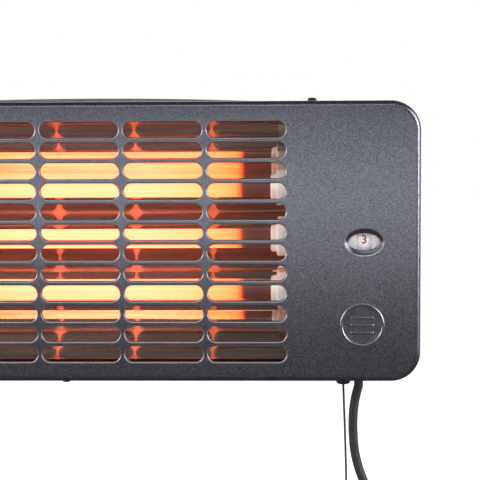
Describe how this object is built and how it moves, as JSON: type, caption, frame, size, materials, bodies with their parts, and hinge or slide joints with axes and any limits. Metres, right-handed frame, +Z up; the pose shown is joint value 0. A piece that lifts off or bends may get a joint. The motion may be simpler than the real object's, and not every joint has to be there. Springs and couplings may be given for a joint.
{
  "type": "wall-hung electric bar heater",
  "caption": "Wall heater: quartz tubes and a mirror behind a slotted steel front, pull-cord switch with number window, mains lead with plug, tilting wall bracket.",
  "frame": {"origin": "middle of the two wall holes, on the face that lies against the wall", "axes": "+X to the right along the heater, +Y into the wall, +Z up; the grille faces -Y"},
  "size_m": [0.4964, 0.1246, 0.4681],
  "materials": {
    "cover_paint": "fine-textured anthracite powder coat with a metallic fleck, satin",
    "housing_paint": "olive-grey coated steel, satin",
    "bracket_paint": "black-grey powder coat, satin",
    "zinc_steel": "zinc-plated steel",
    "mirror_sheet": "polished aluminium mirror sheet",
    "quartz": "satin quartz glass, lit from inside",
    "glowing_wire": "red-hot resistance wire",
    "ceramic": "white glazed steatite ceramic, opaque",
    "black_screw": "black-oxidised steel",
    "brass": "plain brass",
    "black_plastic": "black moulded plastic, fine texture",
    "pale_plastic": "cream moulded plastic",
    "drum_white": "white moulded plastic with red numbers",
    "lens_clear": "clear moulded plastic",
    "cord_rubber": "black flexible sheath, semi-matt",
    "pull_string": "black braided cord",
    "tie_black": "black tie strap",
    "plug_metal": "nickel-plated brass",
    "wire_red": "heat-resistant red-brown wire sleeve"
  },
  "bodies": {
    "wall_bracket": {"wall_plate": "bracket_paint"},
    "housing": {"front_cover": "cover_paint", "rear_housing": "housing_paint", "reflector": "mirror_sheet", "heat_shield": "zinc_steel", "end_plate_left": "zinc_steel", "end_plate_right": "zinc_steel", "quartz_tube_top": "quartz", "quartz_tube_middle": "quartz", "quartz_tube_bottom": "quartz", "heating_spiral_top": "glowing_wire", "heating_spiral_middle": "glowing_wire", "heating_spiral_bottom": "glowing_wire", "ceramic_cap_top_left": "ceramic", "ceramic_cap_middle_left": "ceramic", "ceramic_cap_bottom_left": "ceramic", "ceramic_cap_top_right": "ceramic", "ceramic_cap_middle_right": "ceramic", "ceramic_cap_bottom_right": "ceramic", "cap_clips": "zinc_steel", "tube_terminals": "zinc_steel", "reflector_clips": "zinc_steel", "tilt_lug_left": "bracket_paint", "tilt_lug_right": "bracket_paint", "lug_rivets": "zinc_steel", "pivot_bolt_left": "zinc_steel", "pivot_bolt_right": "zinc_steel", "pivot_washers": "zinc_steel", "cover_screws": "black_screw", "end_plate_screws": "zinc_steel", "terminal_block": "ceramic", "terminal_screws": "brass", "cord_clamp": "pale_plastic", "cable_gland": "black_plastic", "supply_cable": "cord_rubber", "earth_screw": "brass", "thermal_cutout": "black_plastic", "switch_body": "pale_plastic", "switch_bracket": "zinc_steel", "return_spring": "zinc_steel", "indicator_lens": "lens_clear", "pull_bush": "black_plastic", "internal_wires": "wire_red"},
    "clamp_knob_left": {"clamp_knob_left": "black_plastic"},
    "clamp_knob_right": {"clamp_knob_right": "black_plastic"},
    "sector": {"pull_sector": "pale_plastic"},
    "drum": {"drum_shaft": "zinc_steel", "ratchet_wheel": "pale_plastic", "indicator_drum": "drum_white"},
    "pull_slider": {"cord_upper": "pull_string", "stop_bead": "pale_plastic"},
    "pull_cord": {"pull_cord": "pull_string", "pull_knob": "black_plastic"},
    "mains_lead": {"mains_cord": "cord_rubber", "mains_coil": "cord_rubber", "cord_tie": "tie_black", "plug_sleeve": "cord_rubber", "plug_body": "cord_rubber", "plug_pins": "plug_metal"}
  },
  "joints": [
    {"name": "housing_tilt", "type": "hinge", "parent": "wall_bracket", "child": "housing", "pos_m": [0, -0.03, -0.03], "axis": [1, 0, 0], "range_deg": [0, 30]},
    {"name": "clamp_knob_left_turn", "type": "hinge", "parent": "housing", "child": "clamp_knob_left", "pos_m": [-0.1718, -0.03, -0.03], "axis": [1, 0, 0], "continuous": true},
    {"name": "clamp_knob_right_turn", "type": "hinge", "parent": "housing", "child": "clamp_knob_right", "pos_m": [0.1718, -0.03, -0.03], "axis": [1, 0, 0], "continuous": true},
    {"name": "pull_slide", "type": "slide", "parent": "housing", "child": "pull_slider", "axis": [0, 0, -1], "range_m": [0, 0.012], "stiffness_N_per_m": 250, "springref_m": -0.008},
    {"name": "sector_turn", "type": "hinge", "parent": "housing", "child": "sector", "pos_m": [0.1898, -0.102, 0], "axis": [-1, 0, 0], "range_deg": [0, 49.2]},
    {"name": "drum_turn", "type": "hinge", "parent": "housing", "child": "drum", "pos_m": [0.2042, -0.102, 0], "axis": [1, 0, 0], "continuous": true},
    {"name": "pull_cord_hang", "type": "hinge", "parent": "pull_slider", "child": "pull_cord", "pos_m": [0.1898, -0.088, -0.1093], "axis": [1, 0, 0], "range_deg": [-30, 0]},
    {"name": "mains_lead_hang", "type": "hinge", "parent": "housing", "child": "mains_lead", "pos_m": [0.2017, -0.071, -0.112], "axis": [1, 0, 0], "range_deg": [-30, 0]}
  ],
  "couplings": [
    {"joint": "sector_turn", "follows": "pull_slide", "rad_per_m": 71.429},
    {"joint": "pull_cord_hang", "follows": "housing_tilt", "ratio": -1},
    {"joint": "mains_lead_hang", "follows": "housing_tilt", "ratio": -1}
  ]
}
